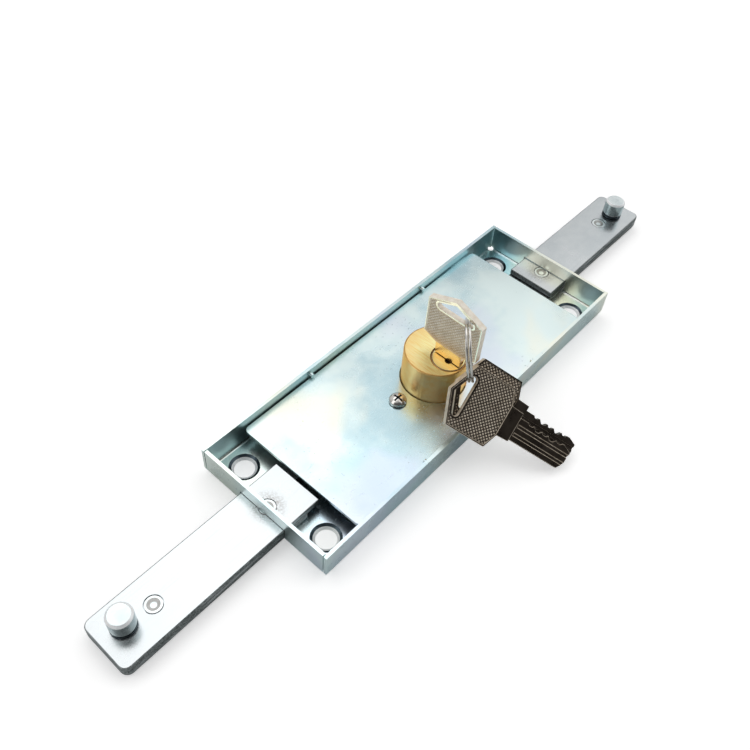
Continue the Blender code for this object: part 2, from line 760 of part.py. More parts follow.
def key_blank(name):
    """The whole key, lying across X with its cut edge towards +Y."""
    obj = plate(name, [key_outline(), bow_slot()], -bow_thickness / 2, bow_thickness / 2)
    inset = bow_border
    w = bow_half_width - inset
    field = [(0, -1.25 * inset), (w, -bow_roof - 0.6 * inset), (w, -bow_side + 0.7 * inset),
             (neck_half_width, -bow_base + 0.7 * inset), (-neck_half_width, -bow_base + 0.7 * inset),
             (-w, -bow_side + 0.7 * inset), (-w, -bow_roof - 0.6 * inset)]
    half = bow_thickness / 2
    shaves = []
    for face in (-1, 1):
        ends = sorted((face * (half - bow_recess), face * 2 * half))
        shaves.append(plate("bow_field", [field], *ends))
        ends = sorted((face * blade_thickness / 2, face * 2 * half))
        shaves.append(box("blade_face", (-bow_half_width, -2 * key_length, ends[0]),
                          (bow_half_width, -shoulder, ends[1])))
        for middle in (-0.0022, 0.0008) if face > 0 else (-0.0028,):
            ends = sorted((face * (blade_thickness / 2 - groove_depth), face * 2 * half))
            shaves.append(box("groove", (middle - groove_width / 2, -2 * key_length, ends[0]),
                              (middle + groove_width / 2, -shoulder - 2 * gap, ends[1])))
    for piece in shaves:
        combine(obj, piece)
    obj = fixed_mesh(obj)
    upright = Euler((math.pi / 2, 0, math.pi / 2)).to_matrix().to_4x4()
    obj.data.transform(upright)
    return obj


def key(name, pattern, place, turn, roughness=0.3):
    obj = bpy.data.objects.new(name, pattern.data.copy())
    obj.location = place
    obj.rotation_euler = turn
    parts.objects.link(obj)
    return finish(obj, nickel, roughness)


def tumblers():
    """Key pins, drivers, springs and caps, one of each in every chamber."""
    shear = plug_y + plug_radius
    driver_start = plug_y + bore_radius
    driver_end = driver_start + driver_length
    spring_start = driver_end + gap
    cap_start = spring_start + spring_length + gap
    cap_end = cylinder_y + cylinder_radius - gap
    turning = []
    for i, z in enumerate(tumbler_heights):
        number = i + 1
        foot = plug_y + blade_front - cut_depths[i] + gap
        nose = tumbler_radius * 0.45
        pin = turned(f"key_pin_{number}", [
            (0, shear - foot - gap / 3), (0.8 * tumbler_radius, shear - foot - gap / 3),
            (tumbler_radius, shear - foot - gap), (tumbler_radius, nose), (0.4 * tumbler_radius, 0),
            (0, 0)], sides=14)
        turning.append(lay_along_y(pin, foot, z))
        driver = rod(f"driver_pin_{number}", tumbler_radius, (0, driver_start, z),
                     (0, driver_end, z), 14, "Y")
        finish(driver, steel, 0.3)
        spring(number, spring_start, z)
        cap = rod(f"chamber_cap_{number}", tumbler_radius, (0, cap_start, z), (0, cap_end, z), 14, "Y")
        finish(cap, brass, 0.3)
    return turning


def lay_along_y(obj, y, z):
    """Turn an upright turned piece to point along +Y from a start."""
    obj = fixed_mesh(obj)
    obj.data.transform(Euler((-math.pi / 2, 0, 0)).to_matrix().to_4x4())
    obj.location = (0, y, z)
    return finish(obj, brass, 0.3)


def wire(name, points, radius, resolution):
    """A round wire through a list of points, as a curve with filled ends."""
    line = bpy.data.curves.new(name, "CURVE")
    line.dimensions = "3D"
    line.bevel_depth = radius
    line.bevel_resolution = resolution
    line.use_fill_caps = True
    path = line.splines.new("POLY")
    path.points.add(len(points) - 1)
    for spot, co in zip(path.points, points):
        spot.co = (*co, 1)
    obj = bpy.data.objects.new(name, line)
    parts.objects.link(obj)
    return obj


def spring(number, start, z):
    coil = tumbler_radius - 2 * spring_wire
    per_turn = 7
    steps = per_turn * spring_turns
    reach = spring_length - 2 * spring_wire
    points = []
    for i in range(steps + 1):
        turn = 2 * math.pi * i / per_turn
        points.append((coil * math.cos(turn), start + spring_wire + reach * i / steps,
                       z + coil * math.sin(turn)))
    return finish(fixed_mesh(wire(f"pin_spring_{number}", points, spring_wire, 0)), steel, 0.3)


def by_plug(offset):
    """A place given from the plug's axis and the tray's back."""
    return (offset[0], plug_y + offset[1], offset[2])


def split_ring():
    """Two flat turns joined by one short crossing, about the local Z axis."""
    per_turn = 28
    first = 1
    last = 2 * per_turn - 1
    crossing = 0.07
    points = []
    for i in range(first, last + 1):
        turns = i / per_turn
        step = min(1.0, max(0.0, (turns - 1 + crossing) / (2 * crossing)))
        rise = step * step * (3 - 2 * step) - 0.5
        angle = 2 * math.pi * turns + ring_split
        points.append((ring_radius * math.cos(angle), ring_radius * math.sin(angle),
                       ring_turn_offset * rise))
    obj = fixed_mesh(wire("split_ring", points, ring_wire, 2))
    obj.location = by_plug(ring_from_plug)
    obj.rotation_euler = Vector(ring_axis).to_track_quat("Z", "Y").to_euler()
    return finish(obj, steel, 0.2)


tray()
cover()
cover_screw()
pillar()
body()
for index, hand in ((1, -1), (2, 1)):
    fixing_screw(index, hand)
    sleeve(index, hand)

bar_set("left", -1, left_reach, left_strip(), left_doubler_end)
bar_set("right", 1, right_reach, right_strip(), right_doubler_end)

blank = key_blank("key_pattern")
plug_axis = holder("plug_axis", (0, plug_y, 0))
carry(plug_axis, plug(), pinion(), clip(),
      key("inserted_key", blank, (0, plug_y, key_apex), (0, 0, 0)), *tumblers())

across = Vector(spare_key_across).normalized()
down = Vector(spare_key_down)
down = (down - across * down.dot(across)).normalized()
lying = Matrix((down.cross(across), across, -down)).transposed()
spare_key_turn = lying.to_euler()
ring_pivot = holder("ring_pivot", by_plug(ring_lift_from_plug))
carry(plug_axis, ring_pivot)
carry(ring_pivot, split_ring())
for number, apex in ((1, spare_key_1_from_plug), (2, spare_key_2_from_plug)):
    spare_pivot = holder(f"spare_key_{number}_pivot", by_plug(ring_from_plug))
    carry(ring_pivot, spare_pivot)
    carry(spare_pivot, key(f"spare_key_{number}", blank, by_plug(apex), spare_key_turn, 0.4))
bpy.data.objects.remove(blank)
bpy.context.view_layer.update()
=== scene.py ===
"""Looks of a roller shutter lock: zinc plated tray and bars, brass cylinder, keys on a ring."""
import json
import math

import bmesh
import bpy
from mathutils import Euler, Matrix, Vector


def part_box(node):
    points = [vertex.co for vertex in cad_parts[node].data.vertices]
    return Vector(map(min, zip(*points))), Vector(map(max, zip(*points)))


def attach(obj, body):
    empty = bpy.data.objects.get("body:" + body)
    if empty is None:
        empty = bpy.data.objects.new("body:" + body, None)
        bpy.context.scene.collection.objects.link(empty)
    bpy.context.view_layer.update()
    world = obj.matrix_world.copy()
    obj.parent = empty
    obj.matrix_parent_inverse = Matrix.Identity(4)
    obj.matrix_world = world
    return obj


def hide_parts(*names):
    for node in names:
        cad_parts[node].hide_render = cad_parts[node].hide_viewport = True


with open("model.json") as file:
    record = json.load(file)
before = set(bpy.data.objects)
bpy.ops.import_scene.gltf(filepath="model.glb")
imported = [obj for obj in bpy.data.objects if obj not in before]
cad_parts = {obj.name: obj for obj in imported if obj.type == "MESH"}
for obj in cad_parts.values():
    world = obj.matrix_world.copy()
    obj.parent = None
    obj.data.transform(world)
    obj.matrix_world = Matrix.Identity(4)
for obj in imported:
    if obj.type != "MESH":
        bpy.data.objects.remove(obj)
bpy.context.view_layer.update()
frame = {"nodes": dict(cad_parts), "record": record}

mm = 0.001
touching = 0.01 * mm

# Camera, as the photograph was taken
camera_place = (-0.15874, -0.10267, 0.22937)
camera_turn = (39.642, -3.293, -48.001)
camera_lens = 39.505


class Socket:
    """An output of a shader node, whose arithmetic adds Math nodes."""

    def __init__(self, surface, output):
        self.surface = surface
        self.output = output

    def math(self, operation, *values):
        return self.surface.add("Math", {"operation": operation}, values)

    def __add__(self, other):
        return self.math("ADD", self, other)

    def __radd__(self, other):
        return self.math("ADD", other, self)

    def __sub__(self, other):
        return self.math("SUBTRACT", self, other)

    def __rsub__(self, other):
        return self.math("SUBTRACT", other, self)

    def __mul__(self, other):
        return self.math("MULTIPLY", self, other)

    def __rmul__(self, other):
        return self.math("MULTIPLY", other, self)


class Surface:
    """A node tree for a finish, with one method that adds any node."""

    def __init__(self, tree):
        self.tree = tree
        self.tree.nodes.clear()

    def add(self, kind, settings=None, inputs=(), output=0):
        """Add a node, set it up, then give its sockets values or links by place or by name."""
        node = self.tree.nodes.new("ShaderNode" + kind)
        for name, value in (settings or {}).items():
            setattr(node, name, value)
        named = inputs if isinstance(inputs, dict) else dict(enumerate(inputs))
        for name, value in named.items():
            if isinstance(value, Socket):
                self.tree.links.new(value.output, node.inputs[name])
            elif value is not None:
                node.inputs[name].default_value = value
        return Socket(self, node.outputs[output]) if node.outputs else node

    def place(self, scale=(1, 1, 1), turn=(0, 0, 0), shift=(0, 0, 0)):
        """Object coordinates, moved, turned and scaled for a pattern."""
        spot = self.add("TexCoord", output="Object")
        return self.add("Mapping", {"vector_type": "POINT"},
                        {"Vector": spot, "Location": shift, "Rotation": turn, "Scale": scale})

    def noise(self, spot, scale, detail=3.0, rough=0.5, warp=0.0):
        return self.add("TexNoise", inputs={"Vector": spot, "Scale": scale, "Detail": detail,
                                            "Roughness": rough, "Distortion": warp})

    def band(self, value, low, high, start=0.0, end=1.0):
        """A value between two limits, spread smoothly over another range."""
        return self.add("MapRange", {"interpolation_type": "SMOOTHSTEP"},
                        {"Value": value, "From Min": low, "From Max": high,
                         "To Min": start, "To Max": end})

    def blend(self, amount, first, second):
        """Two colours mixed, each a socket or three numbers."""
        pair = [c if isinstance(c, Socket) else (*c, 1.0) for c in (first, second)]
        return self.add("Mix", {"data_type": "RGBA"}, {0: amount, 6: pair[0], 7: pair[1]}, 2)

    def distance(self, spot, point):
        return self.add("VectorMath", {"operation": "DISTANCE"}, (spot, point), "Value")

    def towards(self, way, direction):
        """How nearly a way through the room runs in a direction, 1 where it does."""
        return self.add("VectorMath", {"operation": "DOT_PRODUCT"}, (way, direction), "Value")

    def bump(self, height, depth, strength=1.0, under=None):
        return self.add("Bump", inputs={"Height": height, "Distance": depth, "Strength": strength,
                                        "Normal": under})


def finish(name, build, **fixed):
    """A metal from a function that returns what varies in the Principled shader."""
    made = bpy.data.materials.new(name)
    made.use_nodes = True
    surface = Surface(made.node_tree)
    varying = build(surface)
    shader = surface.add("BsdfPrincipled", inputs={"Metallic": 1.0, **fixed, **varying})
    surface.add("OutputMaterial", inputs={"Surface": shader})
    return made


def middle_of(node):
    low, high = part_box(node)
    return (Vector(low) + Vector(high)) / 2


def passivated_zinc(s):
    """Bright zinc under a thin blue film that turns faintly yellow and violet in wide patches."""
    spot = s.place()
    clouds = s.noise(spot, 30, 4, 0.6)
    film = s.noise(spot, 19, 3, 0.5, 0.5)
    tint = s.noise(s.place(shift=(3, 1, 2)), 24, 3, 0.5)
    colour = s.blend(s.band(clouds, 0.36, 0.64), (0.54, 0.73, 0.79), (0.79, 0.91, 0.90))
    colour = s.blend(s.band(film, 0.50, 0.66, 0.0, 0.75), colour, (0.92, 0.90, 0.76))
    colour = s.blend(s.band(tint, 0.54, 0.68, 0.0, 0.55), colour, (0.74, 0.78, 0.93))
    pits = s.band(s.noise(spot, 1000, 2, 0.5), 0.66, 0.72)
    patched = s.band(s.noise(s.place(shift=(1, 5, 2)), 38, 3, 0.6), 0.50, 0.70)
    colour = s.blend(pits * patched * 0.6, colour, (0.26, 0.33, 0.36))
    drawn = s.noise(s.place(scale=(0.10, 1, 1), turn=(0, 0, 0.5)), 1500, 2, 0.4)
    scratches = s.band(drawn, 0.70, 0.74)
    grain = s.noise(spot, 1600, 2, 0.5)
    wavy = s.bump(s.noise(spot, 30, 1, 0.4), 1.2 * mm, 1.0)
    return {"Base Color": colour,
            "Roughness": s.band(clouds, 0.35, 0.68, 0.23, 0.31) + pits * 0.2 + scratches * 0.12,
            "Normal": s.bump(grain, 0.004 * mm, 0.3, wavy)}


def wall_zinc_with_reflection(s):
    """Inside the walls, where the film ran thick: teal with straw patches, darker teal away from
    the right end wall, and a painted reflection of the bar in bright straw at that wall.
    """
    spot = s.place()
    clouds = s.noise(spot, 28, 3, 0.5)
    film = s.noise(s.place(shift=(2, 4, 1)), 22, 2, 0.5, 0.4)
    colour = s.blend(s.band(clouds, 0.36, 0.64), (0.50, 0.72, 0.75), (0.78, 0.93, 0.93))
    colour = s.blend(s.band(film, 0.46, 0.62, 0.0, 0.8), colour, (0.98, 0.95, 0.70))
    # Painted reflection: bright straw near the right end wall stands for the bar mirrored there;
    # farther off, the walls turn darker teal
    end_wall = (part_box("case_tray")[1][0], 0, 6 * mm)
    reach = s.distance(spot, end_wall)
    colour = s.blend(s.band(reach, 14 * mm, 30 * mm, 0.0, 0.6), colour, (0.30, 0.50, 0.53))
    colour = s.blend(s.band(reach, 6 * mm, 18 * mm, 0.9, 0.0), colour, (1.0, 0.97, 0.80))
    return {"Base Color": colour, "Roughness": s.band(clouds, 0.35, 0.68, 0.30, 0.38)}


def dull_zinc(s):
    """Zinc plate on rolled flat bar, with marks along it and grey halos round the inner rivets."""
    spot = s.place()
    rolled = s.noise(s.place(scale=(0.04, 1, 1)), 1500, 3, 0.6)
    clouds = s.noise(spot, 45, 4, 0.6)
    colour = s.blend(s.band(clouds, 0.3, 0.7), (0.58, 0.62, 0.64), (0.68, 0.71, 0.72))
    colour = s.blend(s.band(rolled, 0.5, 0.8, 0.0, 0.25), colour, (0.50, 0.54, 0.57))
    flat = s.place(scale=(1, 1, 0))
    specks = s.band(s.noise(spot, 2600, 3, 0.7), 0.34, 0.66)
    for node in ("left_inner_rivet", "right_inner_rivet"):
        reach = s.distance(flat, (*middle_of(node).to_2d(), 0))
        halo = s.band(reach, 2.7 * mm, 7.4 * mm, 0.95, 0.0)
        colour = s.blend(halo * specks, colour, (0.30, 0.29, 0.28))
    grain = s.noise(spot, 2200, 2, 0.5)
    return {"Base Color": colour, "Roughness": s.band(clouds, 0.3, 0.7, 0.22, 0.30),
            "Normal": s.bump(rolled * 0.5 + grain, 0.006 * mm, 0.4)}


def pin_zinc(s):
    """Zinc on the turned pins and rivets, a little green and duller than the bars."""
    spot = s.place()
    clouds = s.noise(spot, 160, 4, 0.6)
    rings = s.noise(s.place(scale=(0.02, 0.02, 1)), 4500, 2, 0.5)
    colour = s.blend(s.band(clouds, 0.3, 0.7), (0.66, 0.73, 0.74), (0.84, 0.90, 0.90))
    return {"Base Color": colour, "Roughness": s.band(rings, 0.3, 0.7, 0.24, 0.34),
            "Normal": s.bump(rings, 0.008 * mm, 0.5)}


def shaded_turned_sides(s):
    """The pins' turned sides, painted darker than their ends as shade."""
    rings = s.noise(s.place(scale=(0.02, 0.02, 1)), 4500, 2, 0.5)
    clouds = s.noise(s.place(), 200, 3, 0.6)
    colour = s.blend(s.band(clouds, 0.3, 0.7), (0.36, 0.44, 0.46), (0.54, 0.62, 0.62))
    return {"Base Color": colour, "Roughness": s.band(rings, 0.3, 0.7, 0.18, 0.28),
            "Normal": s.bump(rings, 0.008 * mm, 0.5)}


def sheared_steel_and_shade(s):
    """The cut edges of the bars, torn by the shears and thinly plated, their grey darkened further
    as painted shade.
    """
    torn = s.noise(s.place(scale=(1, 1, 0.35)), 2600, 4, 0.7)
    layers = s.noise(s.place(scale=(0.1, 0.1, 1)), 900, 2, 0.5)
    colour = s.blend(s.band(torn, 0.35, 0.7), (0.07, 0.08, 0.08), (0.34, 0.37, 0.37))
    colour = s.blend(s.band(layers, 0.5, 0.7, 0.0, 0.5), colour, (0.55, 0.58, 0.60))
    return {"Base Color": colour, "Roughness": s.band(torn, 0.3, 0.7, 0.35, 0.55),
            "Normal": s.bump(torn, 0.04 * mm, 0.6)}


def turned_brass(s):
    """Brass with fine turning rings round its side."""
    rings = s.noise(s.place(scale=(0.02, 0.02, 1)), 5000, 2, 0.5)
    clouds = s.noise(s.place(), 150, 3, 0.55)
    colour = s.blend(s.band(clouds, 0.35, 0.7), (1.0, 0.58, 0.20), (1.0, 0.72, 0.34))
    colour = s.blend(s.band(rings, 0.5, 0.75, 0.0, 0.25), colour, (0.93, 0.75, 0.42))
    return {"Base Color": colour, "Roughness": s.band(rings, 0.3, 0.7, 0.30, 0.40),
            "Normal": s.bump(rings, 0.006 * mm, 0.5)}


def brushed_brass(s):
    """The face of the cylinder, rubbed straight across on fine paper."""
    lines = s.noise(s.place(scale=(1, 0.05, 1)), 4200, 3, 0.65)
    wide = s.noise(s.place(scale=(1, 0.12, 1)), 1100, 3, 0.6)
    colour = s.blend(s.band(lines, 0.3, 0.7), (0.92, 0.68, 0.24), (1.0, 0.95, 0.50))
    colour = s.blend(s.band(wide, 0.42, 0.70, 0.0, 0.55), colour, (1.0, 0.95, 0.56))
    # Painted shade: the face turns darker orange from near the plug out towards the rim
    plug = middle_of("cylinder_plug")
    reach = s.distance(s.place(scale=(1, 1, 0)), (plug.x, plug.y + 2.4 * mm, 0))
    colour = s.blend(s.band(reach, 6 * mm, 14 * mm, 0.0, 0.55), colour, (0.92, 0.58, 0.22))
    return {"Base Color": colour, "Roughness": s.band(lines, 0.3, 0.7, 0.30, 0.42),
            "Normal": s.bump(lines + wide * 0.5, 0.008 * mm, 0.5)}


def brass_reflection(s, colour):
    """Painted reflection of the brass cylinder, low on the bow of the key in use."""
    height = s.add("SeparateXYZ", inputs=(s.place(),), output="Z")
    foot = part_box("cylinder_body")[1][2]
    end = foot + 11 * mm
    return s.blend(s.band(height, foot, end, 0.75, 0.0), colour, (0.86, 0.50, 0.15))


def mottled(scale, dark, light, smooth, rough, detail=3, uneven=0.6, grain=None, patched=False):
    """Builder of a plain finish: clouds between two colours and between two roughnesses.

    A grain is the scale and the depth of a fine unevenness, and the last argument adds a painted
    reflection of the brass low on the key in use."""
    def build(s):
        clouds = s.noise(s.place(), scale, detail, uneven)
        colour = s.blend(s.band(clouds, 0.3, 0.7), dark, light)
        if patched:
            colour = brass_reflection(s, colour)
        varying = {"Base Color": colour, "Roughness": s.band(clouds, 0.3, 0.7, smooth, rough)}
        if grain:
            varying["Normal"] = s.bump(s.noise(s.place(), grain[0], 2, 0.5), grain[1], 0.3)
        return varying
    return build


metals = {
    "blue_zinc_sheet": finish("blue_zinc_sheet", passivated_zinc),
    "zinc_steel_bar": finish("zinc_steel_bar", dull_zinc),
    "brass": finish("brass", turned_brass,
                    **{"Metallic": 0.85, "Specular Tint": (0.95, 0.70, 0.40, 1)}),
    "nickel_silver": finish("nickel_silver", mottled(
        150, (0.98, 0.87, 0.68), (1.0, 0.96, 0.80), 0.2, 0.3, 4, grain=(2500, 0.008 * mm),
        patched=True)),
    "bright_steel": finish("bright_steel", mottled(
        300, (0.56, 0.54, 0.51), (0.74, 0.72, 0.68), 0.06, 0.12, uneven=0.5)),
    "plain_steel": finish("plain_steel", mottled(
        220, (0.42, 0.43, 0.45), (0.56, 0.57, 0.58), 0.3, 0.45, grain=(1800, 0.01 * mm))),
}

# Zinc: inside the walls; near-black painted shade in the sinks, grooves and screw recess;
# near-white painted highlights on the sinks' rings, chamfers and rivet rims; painted shade in the
# struck dishes; the turned pins, their sides in painted shade
bay_film_with_reflection = finish("bay_film_with_reflection", wall_zinc_with_reflection)
# Painted shade: near-black, for the sinks' upper cones, the pins' grooves and feet, and the screw's
# cross recess
painted_shade = finish("painted_shade", mottled(
    240, (0.03, 0.045, 0.055), (0.09, 0.12, 0.14), 0.24, 0.34))
# Painted highlight: near-white and barely metal, for the sinks' lower rings and hole walls, the
# pins' chamfers and the rivets' rims
painted_highlight_edge = finish("painted_highlight_edge", mottled(
    500, (0.90, 0.94, 0.96), (1.0, 1.0, 1.0), 0.35, 0.5), Metallic=0.3)
# Painted shade: darker grey on the slopes of the rivets' dishes
rivet_dish_shade = finish("rivet_dish_shade", mottled(
    900, (0.30, 0.30, 0.29), (0.48, 0.48, 0.47), 0.3, 0.45))
turned_zinc = finish("turned_zinc", pin_zinc)
# Painted shade: the pins' sides darker than their ends
pin_side_shade = finish("pin_side_shade", shaded_turned_sides)
# Sheared steel, darkened further as painted shade
cut_edge = finish("sheared_edge_and_shade", sheared_steel_and_shade)

# The cylinder's face, and its rim painted dark brown as shade on the rounded edge
brass_face = finish("brushed_brass_face", brushed_brass)
brass_rim_shade = finish("brass_rim_shade", mottled(400, (0.46, 0.25, 0.07), (0.68, 0.40, 0.14), 0.3, 0.4))

# Keys: painted highlights on rims, edges and tops, and tarnish with painted shade in the hollows of
# the pattern. The loose keys are painted near-black brown as shade.
# Painted highlight: lighter and barely metal, on the rims, edges, dot tops, slot rim and net of the
# key in use
rim_highlight = finish("rim_highlight", mottled(
    500, (0.84, 0.75, 0.62), (1.0, 0.94, 0.83), 0.35, 0.5, patched=True), Metallic=0.2)
# Tarnish with painted shade in the hollows of the key in use
hollow_tarnish_and_shade = finish("knurl_hollow_tarnish_and_shade", mottled(
    260, (0.50, 0.37, 0.20), (0.68, 0.53, 0.32), 0.35, 0.5, patched=True), Metallic=0.6)
# Painted shade: the loose keys' nickel, darkened to near-black brown
spare_nickel_shade = finish("spare_nickel_shade", mottled(
    180, (0.07, 0.056, 0.045), (0.11, 0.09, 0.073), 0.24, 0.36, 4, grain=(2500, 0.008 * mm)))
# Painted highlight on the loose keys' rims, edges, dot tops and slot rim
spare_rim_highlight = finish("spare_rim_highlight", mottled(
    500, (0.56, 0.47, 0.36), (0.80, 0.70, 0.57), 0.35, 0.5), Metallic=0.3)
# Tarnish with painted shade in the loose keys' hollows and net; painted shade in the plug's ring
# and keyway
spare_hollow_tarnish_and_shade = finish("spare_knurl_hollow_tarnish_and_shade", mottled(
    260, (0.09, 0.075, 0.06), (0.16, 0.135, 0.11), 0.4, 0.55))

slot_of = {entry["node"]: entry["material_slot"] for entry in frame["record"]["subparts"]}
body_of = {node: body for body, nodes in frame["record"]["behaviour"]["bodies"].items()
           for node in nodes}


def show(name, bm, node, finishes=(), crease=22):
    """A finished bmesh in place of a node, riding on its body."""
    mesh = bpy.data.meshes.new(name)
    bm.to_mesh(mesh)
    bm.free()
    mesh.shade_smooth()
    mesh.set_sharp_from_angle(angle=math.radians(crease))
    piece = bpy.data.objects.new(name, mesh)
    bpy.context.scene.collection.objects.link(piece)
    for metal in finishes or (metals[slot_of[node]],):
        mesh.materials.append(metal)
    level = piece.modifiers.new("level_flats", "WEIGHTED_NORMAL")
    level.keep_sharp = True
    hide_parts(node)
    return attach(piece, body_of[node])


def solid_of(node, flats=True):
    """The node's own solid as a bmesh, its doubles merged and its flats joined."""
    bm = bmesh.new()
    bm.from_mesh(frame["nodes"][node].data)
    bmesh.ops.remove_doubles(bm, verts=bm.verts, dist=0.001 * mm)
    if flats:
        bmesh.ops.dissolve_limit(bm, angle_limit=math.radians(0.2), verts=bm.verts, edges=bm.edges)
    return bm


def ease(bm, width, steps=2, angle=35, outline=None):
    """Round the sharp edges of a solid a little, or only those near the outline of a box."""
    sharp = [e for e in bm.edges if e.is_manifold and e.calc_face_angle(0) > math.radians(angle)]
    if outline:
        (low_x, low_y, _), (high_x, high_y, _) = outline
        near = 3 * mm
        sharp = [e for e in sharp if all(
            min(v.co.x - low_x, high_x - v.co.x, v.co.y - low_y, high_y - v.co.y) < near
            for v in e.verts)]
    bmesh.ops.bevel(bm, geom=sharp, offset=width, segments=steps, profile=0.5, affect="EDGES",
                    material=-1, clamp_overlap=not outline, offset_type="OFFSET")
    return bm


def near_sinks(face):
    """Whether a face belongs to the tray's floor round the four countersinks."""
    floor_top, sinks_from, sinks_within = 1.3 * mm, 60 * mm, 24 * mm
    spot = face.calc_center_median()
    return spot.z < floor_top and abs(spot.x) > sinks_from and abs(spot.y) < sinks_within


def dress_tray(tray):
    """Paint the countersinks' upper cones with shade over a ring of painted highlight below, and
    give the inner walls their own film.
    """
    highlight_share = 0.42
    wall_foot = 1.6 * mm
    cones = [f for f in tray.faces if near_sinks(f) and 0.3 < f.normal.z < 0.95]
    heights = [v.co.z for face in cones for v in face.verts]
    highlight_top = min(heights) + highlight_share * (max(heights) - min(heights))
    parts = [*cones, *{e for f in cones for e in f.edges}, *{v for f in cones for v in f.verts}]
    bmesh.ops.bisect_plane(tray, geom=parts, dist=1e-7, plane_co=(0, 0, highlight_top), plane_no=(0, 0, 1))
    for face in tray.faces:
        face.normal_update()
        middle = face.calc_center_median()
        facing = face.normal
        upright = abs(facing.z) < 0.3
        # Painted shade on the sinks' upper cones, painted highlight on their lower cones and hole
        # walls
        if near_sinks(face):
            cone = 0.3 < facing.z < 0.95
            face.material_index = 2 if upright or cone and middle.z < highlight_top else int(cone)
        elif upright and middle.z > wall_foot and facing.x * middle.x + facing.y * middle.y < 0:
            face.material_index = 3
    return metals["blue_zinc_sheet"], painted_shade, painted_highlight_edge, bay_film_with_reflection


def dress_fastener(node, solid):
    """Give each face of a pin, rivet or screw a look by its height, its slope and its reach."""
    groove_top, chamfer_top = 7.82 * mm, 8 * mm
    dish_radius = 1.95 * mm
    recess_radius, recess_top = 1.86 * mm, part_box(node)[1][2] - 0.35 * mm
    # Looks: dark is painted shade, light a painted highlight, side the pins' sides in painted
    # shade, dish the dishes' slopes in painted shade
    end, dark, light, side, dish, bright = range(6)
    middle = middle_of(node)
    for face in solid.faces:
        face.normal_update()
        spot = face.calc_center_median()
        reach = (spot - middle).to_2d().length
        flat = face.normal.z >= 0.97
        sloped = 0.3 < face.normal.z < 0.97
        if "end_pin" in node:
            # Painted shade in the groove and on the pin's foot below it; painted highlight on the
            # chamfer and slopes
            if spot.z < groove_top:
                look = dark
            elif sloped or spot.z < chamfer_top:
                look = light
            else:
                look = end if face.normal.z > 0.5 else side
        elif "rivet" in node:
            # Painted shade on the dish's slope, painted highlight on the rivet's outer slopes
            look = end if flat else dish if reach < dish_radius else light
        else:
            # Painted shade in the cross recess
            look = dark if reach < recess_radius and spot.z < recess_top else bright
        face.material_index = look
    return turned_zinc, painted_shade, painted_highlight_edge, pin_side_shade, rivet_dish_shade, metals["bright_steel"]


# Tray, cover, bars and their pins and rivets, as in the solids with their edges eased
eased = {"case_tray": 0.12, "cover_plate": 0.12, "cover_screw": 0.06}
for side in ("left", "right"):
    for part, width in (("outer_rivet", 0.08), ("inner_rivet", 0.08), ("end_pin", 0.2)):
        eased[f"{side}_{part}"] = width
for node, width in eased.items():
    solid = ease(solid_of(node), width * mm, angle=25)
    if node == "case_tray":
        finishes = dress_tray(solid)
    elif node == "cover_plate":
        finishes = ()
    else:
        finishes = dress_fastener(node, solid)
    show(node + "_finished", solid, node, finishes)

# The bars show their sheared steel at the sides, darkened further as painted shade, but not in the
# holes of pins and rivets
bar_edge = 0.35 * mm
hole_reach = 4.2 * mm
hole_middles = [middle_of(node) for node in eased if "rivet" in node or "pin" in node]
for side in ("left", "right"):
    for part in ("rack_bar", "bar_doubler"):
        node = f"{side}_{part}"
        bar = ease(solid_of(node), bar_edge, outline=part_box(node))
        for face in bar.faces:
            face.normal_update()
            spot = face.calc_center_median()
            hole = min((spot - middle).to_2d().length for middle in hole_middles) < hole_reach
            face.material_index = int(abs(face.normal.z) < 0.98 and not hole)
        show(node + "_finished", bar, node, (metals["zinc_steel_bar"], cut_edge))

# Cylinder and plug: brushed faces, a rounded rim in painted shade, and painted shade in the ring
# between them and in the keyway, which runs down from just under the face
face_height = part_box("cylinder_body")[1][2]
rim_width = 0.1 * mm
keyway_top, keyway_foot = face_height - 0.05 * mm, face_height - 2.5 * mm
keyway_margin = 0.5 * mm
for node, width, steps, edge_look in (("cylinder_body", 0.25, 3, brass_rim_shade),
                                      ("cylinder_plug", 0.16, 1, spare_hollow_tarnish_and_shade)):
    brass = solid_of(node)
    top = [v for v in brass.verts if v.co.z > face_height - touching]
    ends = [(min(v.co[i] for v in top), max(v.co[i] for v in top)) for i in (0, 1)]
    middle = Vector([sum(pair) / 2 for pair in ends])
    radius = (ends[0][1] - ends[0][0]) / 2
    rim = {v for v in top if (v.co.to_2d() - middle).length > radius - rim_width}
    made = bmesh.ops.bevel(brass, geom=[e for e in brass.edges if set(e.verts) <= rim],
                           offset=width * mm, segments=steps, profile=0.5, affect="EDGES",
                           material=-1, clamp_overlap=True, offset_type="OFFSET")["faces"]
    for face in brass.faces:
        spot = face.calc_center_median()
        keyway = (node == "cylinder_plug" and keyway_foot < spot.z < keyway_top
                  and (spot.to_2d() - middle).length < radius - keyway_margin)
        if face in made or keyway:
            face.material_index = 2
        else:
            face.material_index = int(spot.z > face_height - touching)
    show(node + "_finished", brass, node, (metals["brass"], brass_face, edge_look))

